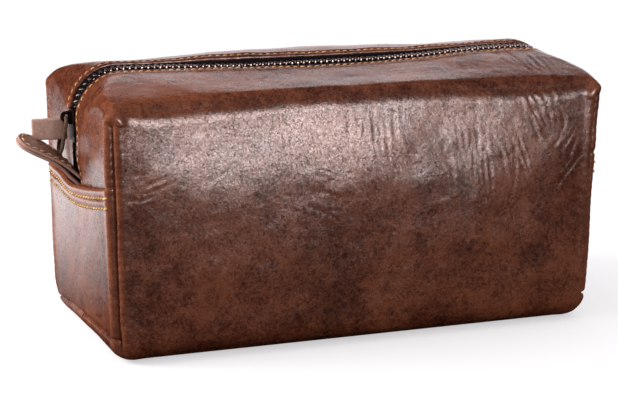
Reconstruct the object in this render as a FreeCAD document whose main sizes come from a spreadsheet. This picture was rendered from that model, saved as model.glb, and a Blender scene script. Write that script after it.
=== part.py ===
import FreeCAD, Part
import math
import os
import re

import Sketcher

# Leather shaving kit bag: a boxy zipped bag that stands on its flat base.
# Frame: +Z up, X along the bag, origin at the middle of the base. The zip is closed, so its slider
# is at the left end (-X). Leather, lining, zip, pulls, tabs and thread are separate solids.

SIZES = {
    "bag_length": 263,  # end face to end face, where they bulge most
    "bag_depth": 131,
    "edge_height": 126,  # where the front and back faces would meet the sloping top
    "crown_height": 138,
    "crown_half_width": 14.5,  # half the flat strip that carries the zip
    "end_roll": 24.5,  # radius with which the top turns down over the ends
    "top_edge_roll": 13,
    "base_edge_roll": 12,
    "base_end_roll": 5,
    "corner_roll": 12,
    "cut_margin": 0.5,  # how far a cutting box reaches past the wall it cuts
    "outer_margin": 5,  # and past the outside of the bag
    "leather": 2.2,
    "lining": 0.8,
    "layer_gap": 0.1,
    "piece_gap": 0.05,
    "mouth_half_width": 6.5,
    "hem_height": 82.4,
    "hem_depth": 13,
    "hem_extra": 1.6,  # the folded hem stands this far proud of the end panel
    "base_seam_height": 8,
    "lip_half_length": 97,
    "lip_hinge_offset": 54,
    "lip_cut_depth": 30,
    "lining_mouth_half_width": 14,
    "lining_mouth_low": 75,
    "tape_inset": 2.45,
    "tape_thickness": 0.7,
    "tape_half_width": 13,
    "tape_gap_half_width": 1.95,
    "tape_low": 77,
    "tooth_pitch": 3.2,
    "tooth_length": 1.4,
    "tooth_half_height": 1,
    "tooth_head": 0.75,
    "tooth_foot": 3.4,
    "tape_slot_half_height": 0.4,
    "tape_slot_floor": 1.9,
    "first_tooth_height": 108.7,
    "stop_length": 3,
    "stop_start": 1.2,
    "stop_extra_foot": 0.3,
    "stop_extra_height": 0.15,
    "bottom_stop_inset": 0.4,
    "stop_height": 97,
    "slider_height": 108,
    "slider_half_length": 8.2,
    "slider_front_half_width": 5.8,
    "slider_back_half_width": 4.9,
    "slider_half_thickness": 2.45,
    "slider_channel_half_height": 1.3,
    "slider_channel_half_width": 3.9,
    "slider_slot_half_height": 0.65,
    "slider_edge_round": 0.5,
    "post_front": 7.8,
    "post_shoulder": 6.6,
    "post_back": 4.3,
    "post_half_width": 1.3,
    "bridge_half_width": 1.3,
    "bridge_top": 7.7,
    "bridge_shoulder": 1.5,
    "bridge_low": 0.2,  # bridge heights are measured from the slider's middle
    "bridge_high": 7.4,
    "bridge_rise": 1.2,
    "bridge_flat_low": 3.2,
    "bridge_flat_high": 5.2,
    "eye_radius": 1.35,
    "ring_pivot_out": 5.4,  # from the chain's middle plane
    "ring_pivot_up": 4.2,  # from the slider's middle
    "ring_half_width": 3.9,
    "ring_length": 18.2,
    "ring_wire_radius": 0.95,
    "ring_slant": 11,
    "strap_low": 101.6,
    "strap_width": 7.6,
    "strap_layer": 1.35,
    "strap_loop_half_width": 2.5,
    "strap_middle": 3.9,
    "strap_fold": 132.2,
    "strap_bend": 140,
    "strap_pinch": 144.5,
    "strap_end": 149.6,
    "tab_length": 31.3,
    "tab_width": 13.2,
    "tab_layer": 1.45,
    "tab_slope": 36,
    "tab_root_out": 132.45,
    "tab_root_height": 85.6,
    "tab_stitch_inset": 1.5,
    "stitch_length": 3,
    "stitch_pitch": 4.3,
    "stitch_radius": 0.35,
    "stitch_lift": 0.4,
    "zip_stitch_offset": 8.6,
    "wing_stitch_low": 87,
    "hem_stitch_half_run": 51.6,
    "hem_row_1": 5,
    "hem_row_2": 10,
    "corner_seam_low": 14,
    "corner_seam_high": 108,
}

V = FreeCAD.Vector
doc = FreeCAD.newDocument("shaving_kit_bag")
sheet = doc.addObject("Spreadsheet::Sheet", "Sizes")
for row, (alias, value) in enumerate(SIZES.items(), start=1):
    sheet.set(f"A{row}", alias)
    sheet.set(f"B{row}", str(value))
    sheet.setAlias(f"B{row}", alias)
doc.recompute()


# ---- expressions and basic features ----

def bound(expression):
    """The expression with each size name turned into a reference to its cell."""
    words = re.compile(r"[a-z]+(_[a-z0-9]+)*")
    return words.sub(lambda word: f"Sizes.{word[0]}" if word[0] in SIZES else word[0], expression)


def size(expression):
    """The expression's value now, in millimetres or degrees."""
    return float(sheet.evalExpression(bound(expression)))


def body(label):
    new = doc.addObject("PartDesign::Body", label)
    new.Label = label
    return new


def sketch_on(owner, role):
    """An empty sketch on one of the body's own origin planes."""
    sketch = owner.newObject("Sketcher::SketchObject", f"{owner.Name}_sketch")
    plane = [feature for feature in owner.Origin.OriginFeatures if feature.Role == role][0]
    sketch.AttachmentSupport = (plane, "")
    sketch.MapMode = "FlatFace"
    return sketch


def place_point(sketch, geometry, point, u, v):
    """Holds a point of the sketch at (u, v) from its origin."""
    for kind, expression in (("DistanceX", u), ("DistanceY", v)):
        constraint = Sketcher.Constraint(kind, -1, 1, geometry, point, size(expression))
        index = sketch.addConstraint(constraint)
        sketch.setExpression(f"Constraints[{index}]", bound(expression))


def add_outline(sketch, corners):
    """A closed polygon whose corners are (u, v) expressions."""
    first = sketch.GeometryCount
    places = [V(size(u), size(v), 0) for u, v in corners]
    for start, end in zip(places, places[1:] + places[:1]):
        sketch.addGeometry(Part.LineSegment(start, end))
    count = len(corners)
    for i in range(count):
        sketch.addConstraint(Sketcher.Constraint("Coincident", first + i, 2, first + (i + 1) % count, 1))
        place_point(sketch, first + i, 1, *corners[i])


def add_circle(sketch, u, v, radius):
    index = sketch.addGeometry(Part.Circle(V(size(u), size(v), 0), V(0, 0, 1), size(radius)))
    place_point(sketch, index, 3, u, v)
    constraint = sketch.addConstraint(Sketcher.Constraint("Radius", index, size(radius)))
    sketch.setExpression(f"Constraints[{constraint}]", bound(radius))


def extrude(owner, sketch, length, kind="PartDesign::Pad"):
    """Pads or pockets the sketch by the same amount to both sides of its plane."""
    feature = owner.newObject(kind, f"{owner.Name}_{kind.split('::')[1].lower()}")
    feature.Profile = sketch
    feature.SideType = "Symmetric"
    feature.setExpression("Length", bound(length))
    doc.recompute()
    return feature


def round_edges(owner, chosen, radius):
    """Fillets the edges of the body's last feature that chosen(edge) picks."""
    base = owner.Tip
    names = [f"Edge{i}" for i, edge in enumerate(base.Shape.Edges, start=1) if chosen(edge)]
    fillet = owner.newObject("PartDesign::Fillet", f"{owner.Name}_fillet")
    fillet.Base = (base, names)
    fillet.setExpression("Radius", bound(radius))
    doc.recompute()
    return fillet


def runs_along(edge, axis):
    """True if the edge is straight and lies along axis, an index 0, 1 or 2."""
    ends = [vertex.Point for vertex in edge.Vertexes]
    if len(ends) < 2 or edge.Curve.TypeId != "Part::GeomLine":
        return False
    spread = [abs(ends[0][i] - ends[1][i]) for i in range(3)]
    return spread[axis] > 1e-6 and sum(spread) - spread[axis] < 1e-6


def box(label, low, high):
    """A Part::Box between two corners given as expressions."""
    new = doc.addObject("Part::Box", label)
    for i, (side, axis) in enumerate((("Length", "x"), ("Width", "y"), ("Height", "z"))):
        new.setExpression(side, bound(f"({high[i]}) - ({low[i]})"))
        new.setExpression(f"Placement.Base.{axis}", bound(low[i]))
    return new


def boolean(kind, label, first, *others):
    """Part::Cut of first and one tool, or Part::MultiFuse / Part::MultiCommon of all."""
    new = doc.addObject(kind, label)
    if kind == "Part::Cut":
        new.Base, new.Tool = first, others[0]
    else:
        new.Shapes = [first, *others]
        new.Refine = True
    new.Label = label
    return new


def mirrored(label, source, normal):
    """source reflected in the middle plane that has this normal."""
    new = doc.addObject("Part::Mirroring", label)
    new.Source = source
    new.Normal = normal
    new.Label = label
    return new


# ---- the bag's outline, at any depth below the outer surface ----

def lengthwise_prism(label, inset):
    """The outline seen from the front, with the big rolls over the ends."""
    owner = body(label)
    side, top = f"bag_length / 2 - {inset}", f"crown_height - {inset}"
    corners = [(f"-({side})", inset), (side, inset), (side, top), (f"-({side})", top)]
    sketch = sketch_on(owner, "XZ_Plane")
    add_outline(sketch, corners)
    extrude(owner, sketch, "2 * bag_depth")
    half_way = size("crown_height") / 2

    def across(high):
        return lambda e: runs_along(e, 1) and (e.CenterOfMass.z > half_way) == high

    round_edges(owner, across(True), f"end_roll - {inset}")
    round_edges(owner, across(False), f"base_end_roll - {inset}")
    return owner


def crosswise_prism(label, inset):
    """The outline seen from the end: flat base, upright faces and a roof that rises to the zip."""
    owner = body(label)
    rise = "((crown_height - edge_height) / (bag_depth / 2 - crown_half_width))"
    lengthen = f"sqrt(1 + {rise} ^ 2)"
    side = f"bag_depth / 2 - {inset}"
    eave = f"edge_height + {inset} * ({rise} - {lengthen})"
    crown = f"crown_half_width - {inset} * ({lengthen} - 1) / {rise}"
    top = f"crown_height - {inset}"
    half = [(side, inset), (side, eave), (crown, top)]
    corners = half + [(f"-({u})", v) for u, v in reversed(half)]
    sketch = sketch_on(owner, "YZ_Plane")
    add_outline(sketch, corners)
    extrude(owner, sketch, "2 * bag_length")
    half_way = size("crown_height") / 2
    outside = size("bag_depth") / 4

    def lengthwise(high):
        return lambda e: (
            runs_along(e, 0)
            and (e.CenterOfMass.z > half_way) == high
            and abs(e.CenterOfMass.y) > outside
        )

    round_edges(owner, lengthwise(True), f"top_edge_roll - {inset}")
    round_edges(owner, lengthwise(False), f"base_edge_roll - {inset}")
    return owner


def plan_prism(label, inset):
    """The outline seen from above, with rolled upright corners."""
    owner = body(label)
    side, face = f"bag_length / 2 - {inset}", f"bag_depth / 2 - {inset}"
    corners = [(f"-({side})", f"-({face})"), (side, f"-({face})"), (side, face), (f"-({side})", face)]
    sketch = sketch_on(owner, "XY_Plane")
    add_outline(sketch, corners)
    extrude(owner, sketch, "4 * crown_height")
    round_edges(owner, lambda e: runs_along(e, 2), f"corner_roll - {inset}")
    return owner


def hull(label, inset):
    """The closed solid that lies inset below the bag's outer surface."""
    prisms = [
        lengthwise_prism(f"{label}_from_front", inset),
        crosswise_prism(f"{label}_from_end", inset),
        plan_prism(f"{label}_from_above", inset),
    ]
    return boolean("Part::MultiCommon", label, *prisms)


lining_outside = "(leather + layer_gap)"
lining_inside = "(leather + layer_gap + lining)"
leather_shell = boolean(
    "Part::Cut", "leather_shell", hull("outer_hull", "0"), hull("leather_hull", "leather")
)
lining_shell = boolean(
    "Part::Cut", "lining_shell", hull("lining_hull", lining_outside), hull("inner_hull", lining_inside)
)


# ---- leather and lining, cut out of those shells ----

def end_box(label, side, gap, low, high, reach):
    """A box over one end wall, up to a gap short of the corner rolls."""
    outer, inner = "bag_length / 2 + outer_margin", f"bag_length / 2 - ({reach})"
    span = f"(bag_depth / 2 - corner_roll - {gap})"
    near, far = (f"-({outer})", f"-({inner})") if side < 0 else (inner, outer)
    return box(label, (near, f"-{span}", low), (far, span, high))


def lip_box(label, side, gap, mouth):
    """A box round one half of the top, from its fold line to the mouth of the bag."""
    half, fold = f"(lip_half_length + {gap})", f"(lip_hinge_offset + {gap})"
    near, far = (f"-{fold}", f"-{mouth}") if side < 0 else (mouth, fold)
    low, high = "edge_height - lip_cut_depth", "crown_height + outer_margin"
    return box(label, (f"-{half}", near, low), (half, far, high))


def mouth_box(label, half_width, low):
    """The slot that the zip closes, over the top and part of the way down both ends."""
    return box(
        label,
        ("-bag_length", f"-{half_width}", low),
        ("bag_length", half_width, "crown_height + outer_margin"),
    )


wall_cut = "leather + cut_margin"
panel_low, panel_high = "base_seam_height - piece_gap", "hem_height + piece_gap"
body_openings = boolean(
    "Part::MultiFuse",
    "body_openings",
    mouth_box("mouth", "mouth_half_width", "hem_height"),
    end_box("left_end_opening", -1, "0", panel_low, panel_high, wall_cut),
    end_box("right_end_opening", 1, "0", panel_low, panel_high, wall_cut),
    lip_box("front_lip_opening", -1, "piece_gap", "0"),
    lip_box("back_lip_opening", 1, "piece_gap", "0"),
)
body_panel = boolean("Part::Cut", "body_panel", leather_shell, body_openings)

front_lip = boolean(
    "Part::MultiCommon", "front_lip", leather_shell, lip_box("front_lip_region", -1, "0", "mouth_half_width")
)
back_lip = mirrored("back_lip", front_lip, V(0, 1, 0))


def end_panel(label):
    """The lower end panel, with its top edge folded over into a thick hem."""
    owner = body(label)
    face, back = "-bag_length / 2", "leather - bag_length / 2"
    proud = "-bag_length / 2 - hem_extra"
    hem_low = "hem_height - hem_depth"
    corners = [
        (back, "base_seam_height"),
        (back, "hem_height"),
        (proud, "hem_height"),
        (proud, hem_low),
        (face, hem_low),
        (face, "base_seam_height"),
    ]
    sketch = sketch_on(owner, "XZ_Plane")
    add_outline(sketch, corners)
    extrude(owner, sketch, "bag_depth - 2 * corner_roll - 2 * piece_gap")
    outside = -size("bag_length") / 2 - size("hem_extra") / 2
    round_edges(owner, lambda e: runs_along(e, 1) and e.CenterOfMass.x < outside, "hem_extra / 2")
    return owner


left_end_panel = end_panel("left_end_panel")
right_end_panel = mirrored("right_end_panel", left_end_panel, V(1, 0, 0))

lining_cut = f"{lining_inside} + cut_margin"
lining_openings = boolean(
    "Part::MultiFuse",
    "lining_openings",
    mouth_box("lining_mouth", "lining_mouth_half_width", "lining_mouth_low"),
    end_box("left_lining_opening", -1, "0", panel_low, "lining_mouth_low", lining_cut),
    end_box("right_lining_opening", 1, "0", panel_low, "lining_mouth_low", lining_cut),
    lip_box("front_lip_lining_opening", -1, "piece_gap", "0"),
    lip_box("back_lip_lining_opening", 1, "piece_gap", "0"),
)
body_lining = boolean("Part::Cut", "body_lining", lining_shell, lining_openings)
front_lip_lining = boolean(
    "Part::MultiCommon",
    "front_lip_lining",
    lining_shell,
    lip_box("front_lip_lining_region", -1, "0", "lining_mouth_half_width"),
)
back_lip_lining = mirrored("back_lip_lining", front_lip_lining, V(0, 1, 0))
left_end_lining = boolean(
    "Part::MultiCommon",
    "left_end_lining",
    lining_shell,
    end_box(
        "left_lining_region", -1, "piece_gap", "base_seam_height", "lining_mouth_low - piece_gap", lining_cut
    ),
)
right_end_lining = mirrored("right_end_lining", left_end_lining, V(1, 0, 0))


# ---- zip: tapes, teeth and stops ----

tape_under = "(tape_inset + tape_thickness)"
tape_band = boolean(
    "Part::Cut",
    "tape_band",
    lengthwise_prism("tape_top_prism", "tape_inset"),
    lengthwise_prism("tape_under_prism", tape_under),
)
front_zip_tape = boolean(
    "Part::MultiCommon",
    "front_zip_tape",
    tape_band,
    box(
        "front_tape_region",
        ("-bag_length", "-tape_half_width", "tape_low"),
        ("bag_length", "-tape_gap_half_width", "crown_height"),
    ),
)
back_zip_tape = mirrored("back_zip_tape", front_zip_tape, V(0, 1, 0))

chain_inset = "(tape_inset + tape_thickness / 2)"
chain_radius = size(f"end_roll - {chain_inset}")
roll_x = size("bag_length / 2 - end_roll")
roll_z = size("crown_height - end_roll")


def over_the_top(distance, radius, start_height):
    """A place on the path that climbs the left end, crosses the top and goes down the right end.

    distance is measured along the chain's middle; radius sets how far out the place lies.
    Returns (point in the XZ plane, outward normal)."""
    rise = roll_z - start_height
    turn = chain_radius * math.pi / 2
    if distance < rise:
        return V(-roll_x - radius, 0, start_height + distance), V(-1, 0, 0)
    distance -= rise
    if distance < turn:
        angle = math.pi - distance / chain_radius
        out = V(math.cos(angle), 0, math.sin(angle))
        return V(-roll_x, 0, roll_z) + out * radius, out
    distance -= turn
    if distance < 2 * roll_x:
        return V(distance - roll_x, 0, roll_z + radius), V(0, 0, 1)
    distance -= 2 * roll_x
    if distance < turn:
        angle = math.pi / 2 - distance / chain_radius
        out = V(math.cos(angle), 0, math.sin(angle))
        return V(roll_x, 0, roll_z) + out * radius, out
    return V(roll_x + radius, 0, roll_z - (distance - turn)), V(1, 0, 0)


def path_length(start_height):
    return 2 * (roll_z - start_height) + math.pi * chain_radius + 2 * roll_x


def facing(position, along, out):
    """The placement that turns a template's X to along and its Z to out."""
    return FreeCAD.Placement(position, FreeCAD.Rotation(along, out.cross(along), out, "XZY"))


def clamp_profile(label, head, foot, half_height, length):
    """A metal clamp with a slot for the edge of the tape, padded along the zip."""
    owner = body(label)
    corners = [
        (head, f"-{half_height}"),
        (head, half_height),
        (f"-{foot}", half_height),
        (f"-{foot}", "tape_slot_half_height"),
        ("-tape_slot_floor", "tape_slot_half_height"),
        ("-tape_slot_floor", "-tape_slot_half_height"),
        (f"-{foot}", "-tape_slot_half_height"),
        (f"-{foot}", f"-{half_height}"),
    ]
    sketch = sketch_on(owner, "YZ_Plane")
    add_outline(sketch, corners)
    extrude(owner, sketch, length)
    return owner


def repeated(label, template, placements):
    """One node that holds a copy of the template's solid at each placement."""
    doc.recompute()
    copies = []
    for placement in placements:
        copy = template.Shape.copy()
        copy.Placement = placement.multiply(copy.Placement)
        copies.append(copy)
    new = doc.addObject("Part::Feature", label)
    new.Shape = Part.makeCompound(copies)
    new.Label = label
    return new


front_tooth = clamp_profile(
    "front_tooth_template", "tooth_head", "tooth_foot", "tooth_half_height", "tooth_length"
)
back_tooth = mirrored("back_tooth_template", front_tooth, V(0, 1, 0))
pitch = size("tooth_pitch")
first_tooth = size("first_tooth_height")
tooth_count = int(path_length(first_tooth) / pitch)


def tooth_places(shift):
    places = []
    for i in range(tooth_count):
        point, out = over_the_top((i + shift) * pitch, chain_radius, first_tooth)
        places.append(facing(point, V(0, 1, 0).cross(out), out))
    return places


front_zip_teeth = repeated("front_zip_teeth", front_tooth, tooth_places(0))
back_zip_teeth = repeated("back_zip_teeth", back_tooth, tooth_places(0.5))

stop_half_height = "(tooth_half_height + stop_extra_height)"
front_stop = clamp_profile(
    "front_stop_template", "-stop_start", "(tooth_foot + stop_extra_foot)", stop_half_height, "stop_length"
)
back_stop = mirrored("back_stop_template", front_stop, V(0, 1, 0))
stop_place = facing(V(-roll_x - chain_radius, 0, size("stop_height")), V(0, 0, 1), V(-1, 0, 0))
doc.recompute()
stop_pair = doc.addObject("Part::Compound", "stop_pair_template")
stop_pair.Links = [front_stop, back_stop]
zip_top_stops = repeated("zip_top_stops", stop_pair, [stop_place])


def bottom_stop(label):
    """One clamp across both tapes, where the chain ends."""
    owner = body(label)
    wide, floor, slot = "(tooth_foot - bottom_stop_inset)", "tape_slot_floor", "tape_slot_half_height"
    quarter = [(wide, stop_half_height), (wide, slot), (floor, slot)]
    right = quarter + [(u, f"-{v}") for u, v in reversed(quarter)]
    corners = right + [(f"-{u}", v) for u, v in reversed(right)]
    sketch = sketch_on(owner, "YZ_Plane")
    add_outline(sketch, corners)
    extrude(owner, sketch, "stop_length")
    owner.Placement = facing(V(roll_x + chain_radius, 0, size("stop_height + 6")), V(0, 0, -1), V(1, 0, 0))
    return owner


zip_bottom_stop = bottom_stop("zip_bottom_stop")


# ---- slider, pull ring and pull strap ----

def zip_slider(label):
    """Two plates joined by a post, with a bridge on the outer plate that the ring hangs from."""
    owner = body(label)
    low, high = "-slider_half_length", "slider_half_length"
    front, back, waist = "slider_front_half_width", "slider_back_half_width", "-1.5"
    right = [(front, low), (front, waist), (back, high)]
    plan = sketch_on(owner, "YZ_Plane")
    add_outline(plan, right + [(f"-{u}", v) for u, v in reversed(right)])
    extrude(owner, plan, "2 * slider_half_thickness")
    outer_face = -size("slider_half_thickness") + 0.01
    round_edges(owner, lambda e: e.CenterOfMass.x < outer_face, "slider_edge_round")

    channel = sketch_on(owner, "XY_Plane")
    deep, thin = "slider_channel_half_height", "slider_slot_half_height"
    wide, past = "slider_channel_half_width", "2 * slider_front_half_width"
    quarter = [(thin, past), (thin, wide), (deep, wide)]
    upper = quarter + [(u, f"-({v})") for u, v in reversed(quarter)]
    add_outline(channel, upper + [(f"-{u}", v) for u, v in reversed(upper)])
    extrude(owner, channel, "4 * slider_half_length", "PartDesign::Pocket")

    post = sketch_on(owner, "YZ_Plane")
    across = "post_half_width"
    near, middle, far = "-post_front", "-post_shoulder", "-post_back"
    corners = [("0", near), (across, middle), ("0", far), (f"-{across}", middle)]
    add_outline(post, corners)
    extrude(owner, post, "2 * slider_channel_half_height + 1")

    bridge = sketch_on(owner, "XZ_Plane")
    foot, shoulder, top = "0.4 - slider_half_thickness", "bridge_shoulder - bridge_top", "-bridge_top"
    arch = [
        (foot, "bridge_low"),
        (shoulder, "bridge_rise + bridge_low"),
        (top, "bridge_flat_low"),
        (top, "bridge_flat_high"),
        (shoulder, "bridge_high - bridge_rise / 2"),
        (foot, "bridge_high"),
    ]
    add_outline(bridge, arch)
    extrude(owner, bridge, "2 * bridge_half_width")
    eye = sketch_on(owner, "XZ_Plane")
    add_circle(eye, "-ring_pivot_out", "ring_pivot_up", "eye_radius")
    extrude(owner, eye, "4 * bridge_half_width", "PartDesign::Pocket")
    owner.Placement = FreeCAD.Placement(
        V(-roll_x - chain_radius, 0, size("slider_height")), FreeCAD.Rotation()
    )
    return owner


slider = zip_slider("zip_slider")


def half_ring(label, turn_up):
    """One round end of the ring, in the plane of Y and Z, with its open side at the middle."""
    bend = doc.addObject("Part::Torus", label)
    bend.setExpression("Radius1", bound("ring_half_width"))
    bend.setExpression("Radius2", bound("ring_wire_radius"))
    bend.Angle3 = 180
    height = "-ring_half_width" if turn_up > 0 else "ring_half_width - ring_length"
    rotation = FreeCAD.Rotation(V(0, 1, 0), V(0, 0, turn_up), V(turn_up, 0, 0), "XZY")
    bend.Placement = FreeCAD.Placement(V(0, 0, size(height)), rotation)
    return bend


def ring_side(label, side):
    wire = doc.addObject("Part::Cylinder", label)
    wire.setExpression("Radius", bound("ring_wire_radius"))
    wire.setExpression("Height", bound("ring_length - 2 * ring_half_width"))
    wire.setExpression("Placement.Base.y", bound(f"{side} * ring_half_width"))
    wire.setExpression("Placement.Base.z", bound("ring_half_width - ring_length"))
    return wire


pull_ring = boolean(
    "Part::MultiFuse",
    "pull_ring",
    half_ring("ring_top", 1),
    half_ring("ring_bottom", -1),
    ring_side("ring_front_side", -1),
    ring_side("ring_back_side", 1),
)
ring_pivot = V(-roll_x - chain_radius - size("ring_pivot_out"), 0, size("slider_height + ring_pivot_up"))
pull_ring.Placement = FreeCAD.Placement(ring_pivot, FreeCAD.Rotation(V(0, 1, 0), size("ring_slant")))


def strap(label):
    """A leather strip folded round the back side of the ring, its two ends glued together."""
    owner = body(label)
    middle, wide, thin = "strap_middle", "strap_loop_half_width", "strap_layer"
    back = [
        ("-strap_fold", f"{middle} + {wide}"),
        ("-strap_bend", f"{middle} + {wide}"),
        ("-strap_pinch", f"{middle} + {thin}"),
        ("-strap_end", f"{middle} + {thin}"),
    ]
    front = [(u, v.replace("+", "-")) for u, v in reversed(back)]
    plan = sketch_on(owner, "XY_Plane")
    add_outline(plan, back + front)
    extrude(owner, plan, "strap_width")
    fold_x = -size("strap_fold") - 0.01
    round_edges(owner, lambda e: runs_along(e, 2) and e.CenterOfMass.x > fold_x, f"{wide} - 0.1")
    hole = sketch_on(owner, "XY_Plane")
    inner = f"({wide} - {thin})"
    loop_back = [
        ("-strap_fold - strap_layer", f"{middle} + {inner}"),
        ("-strap_bend", f"{middle} + {inner}"),
        ("0.9 - strap_pinch", f"{middle} + layer_gap"),
    ]
    loop_front = [(u, v.replace(f"{middle} +", f"{middle} -")) for u, v in reversed(loop_back)]
    add_outline(hole, loop_back + loop_front)
    extrude(owner, hole, "4 * strap_width", "PartDesign::Pocket")
    owner.Placement = FreeCAD.Placement(V(0, 0, size("strap_low + strap_width / 2")), FreeCAD.Rotation())
    return owner


pull_strap = strap("pull_strap")


# ---- end tabs, each of two stitched layers, on a fold line where they leave the hem ----

slope = math.radians(size("tab_slope"))
tab_along = V(-math.cos(slope), 0, math.sin(slope))
tab_out = V(math.sin(slope), 0, math.cos(slope))
tab_place = facing(V(-size("tab_root_out"), 0, size("tab_root_height")), tab_along, tab_out)


def tab_layer(label, low, high):
    """One leaf-shaped layer, from its root at X = 0 to a rounded tip."""
    owner = body(label)
    half = "tab_width / 2"
    sketch = sketch_on(owner, "XZ_Plane")
    add_outline(sketch, [("0", low), ("tab_length", low), ("tab_length", high), ("0", high)])
    extrude(owner, sketch, "tab_width")
    tip = size("tab_length") - 0.01
    round_edges(owner, lambda e: runs_along(e, 2) and e.CenterOfMass.x > tip, f"{half} - 0.1")
    owner.Placement = tab_place
    return owner


left_tab_top_layer = tab_layer("left_tab_top_layer", "piece_gap", "piece_gap + tab_layer")
left_tab_under_layer = tab_layer("left_tab_under_layer", "-piece_gap - tab_layer", "-piece_gap")
right_tab_top_layer = mirrored("right_tab_top_layer", left_tab_top_layer, V(1, 0, 0))
right_tab_under_layer = mirrored("right_tab_under_layer", left_tab_under_layer, V(1, 0, 0))


# ---- thread: each visible stitch is a short spindle just above the leather ----

def stitch_template(label):
    owner = body(label)
    half, taper = "stitch_length / 2", "stitch_length / 2 - stitch_radius"
    sketch = sketch_on(owner, "XZ_Plane")
    corners = [(f"-{half}", "0"), (half, "0"), (taper, "stitch_radius"), (f"-({taper})", "stitch_radius")]
    add_outline(sketch, corners)
    turned = owner.newObject("PartDesign::Revolution", f"{label}_turned")
    turned.Profile = sketch
    turned.ReferenceAxis = (sketch, ["H_Axis"])
    turned.Angle = 360
    doc.recompute()
    return owner


stitch = stitch_template("stitch_template")
stitch_pitch = size("stitch_pitch")
lift = size("stitch_lift")


def evenly(low, high, pitch_wanted):
    """Places from low to high, spaced as near to the wanted pitch as fits a whole number."""
    steps = max(1, round((high - low) / pitch_wanted))
    return [low + (high - low) * (i + 0.5) / steps for i in range(steps)]


def lip_stitches(side):
    """The row of stitches along one edge of the mouth, on the part of the top that opens."""
    reach = size("lip_half_length") - size("stitch_length")
    height = size("crown_height") + lift
    return [
        facing(V(x, side * size("zip_stitch_offset"), height), V(1, 0, 0), V(0, 0, 1))
        for x in evenly(-reach, reach, stitch_pitch)
    ]


front_zip_stitching = repeated("front_zip_stitching", stitch, lip_stitches(-1))
back_zip_stitching = repeated("back_zip_stitching", stitch, lip_stitches(1))


def wing_stitches():
    """The same rows, continued round the end rolls and down to the hem."""
    start = size("wing_stitch_low")
    outer = size("end_roll") + lift
    lip_start = roll_z - start + chain_radius * math.pi / 2 + roll_x - size("lip_half_length")
    places = []
    for distance in evenly(0, lip_start, stitch_pitch):
        point, out = over_the_top(distance, outer, start)
        for side in (-1, 1):
            for end in (-1, 1):
                here = V(-end * point.x, side * size("zip_stitch_offset"), point.z)
                normal = V(-end * out.x, 0, out.z)
                places.append(facing(here, V(0, 1, 0).cross(normal), normal))
    return places


end_zip_stitching = repeated("end_zip_stitching", stitch, wing_stitches())


def hem_stitches():
    """Two rows across the left hem."""
    out = -size("bag_length") / 2 - size("hem_extra") - lift
    run = size("hem_stitch_half_run")
    return [
        facing(V(out, y, size(f"hem_height - {row}")), V(0, 1, 0), V(-1, 0, 0))
        for row in ("hem_row_1", "hem_row_2")
        for y in evenly(-run, run, stitch_pitch)
    ]


left_hem_stitching = repeated("left_hem_stitching", stitch, hem_stitches())
right_hem_stitching = mirrored("right_hem_stitching", left_hem_stitching, V(1, 0, 0))


def corner_stitches():
    """The ladder of stitches that closes each upright corner seam."""
    centre_x = size("bag_length / 2 - corner_roll")
    centre_y = size("bag_depth / 2 - corner_roll")
    out = size("corner_roll") + lift
    places = []
    for height in evenly(size("corner_seam_low"), size("corner_seam_high"), stitch_pitch):
        for x in (-1, 1):
            for y in (-1, 1):
                normal = V(x, y, 0).normalize()
                here = V(x * centre_x, y * centre_y, height) + normal * out
                places.append(facing(here, V(0, 0, 1), normal))
    return places


corner_seam_stitching = repeated("corner_seam_stitching", stitch, corner_stitches())


def tab_stitches():
    """A row round the edge of the tab's top layer."""
    inset, width = size("tab_stitch_inset"), size("tab_width")
    straight = size("tab_length") - width / 2
    radius = width / 2 - inset
    height = size("piece_gap + tab_layer") + lift
    places = []
    for x in evenly(2, straight, stitch_pitch):
        for side in (-1, 1):
            places.append(tab_place.multiply(facing(V(x, side * radius, height), V(1, 0, 0), V(0, 0, 1))))
    for angle in evenly(-math.pi / 2, math.pi / 2, stitch_pitch / radius):
        spot = V(straight + radius * math.cos(angle), radius * math.sin(angle), height)
        along = V(-math.sin(angle), math.cos(angle), 0)
        places.append(tab_place.multiply(facing(spot, along, V(0, 0, 1))))
    return places


left_tab_stitching = repeated("left_tab_stitching", stitch, tab_stitches())
right_tab_stitching = mirrored("right_tab_stitching", left_tab_stitching, V(1, 0, 0))


# ---- check and export ----

NODES = [
    body_panel, front_lip, back_lip, left_end_panel, right_end_panel,
    body_lining, front_lip_lining, back_lip_lining, left_end_lining, right_end_lining,
    front_zip_tape, back_zip_tape, front_zip_teeth, back_zip_teeth, zip_top_stops, zip_bottom_stop,
    slider, pull_ring, pull_strap,
    left_tab_top_layer, left_tab_under_layer, left_tab_stitching,
    right_tab_top_layer, right_tab_under_layer, right_tab_stitching,
    front_zip_stitching, back_zip_stitching, end_zip_stitching,
    left_hem_stitching, right_hem_stitching, corner_seam_stitching,
]

doc.recompute()
failed = [item.Name for item in doc.Objects if "Invalid" in item.State or "Error" in item.State]
if failed:
    raise SystemExit(f"these objects failed: {failed}")
os.makedirs("parts", exist_ok=True)
for node in NODES:
    if node.Shape.isNull() or not node.Shape.isValid() or not node.Shape.Solids:
        raise SystemExit(f"{node.Label} has no valid solid")
for node in NODES:
    node.Shape.exportStep(f"parts/{node.Label}.step")
    print(f"{node.Label}: {len(node.Shape.Solids)} solids, {node.Shape.Volume:.1f} mm3")
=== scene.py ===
import math

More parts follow.
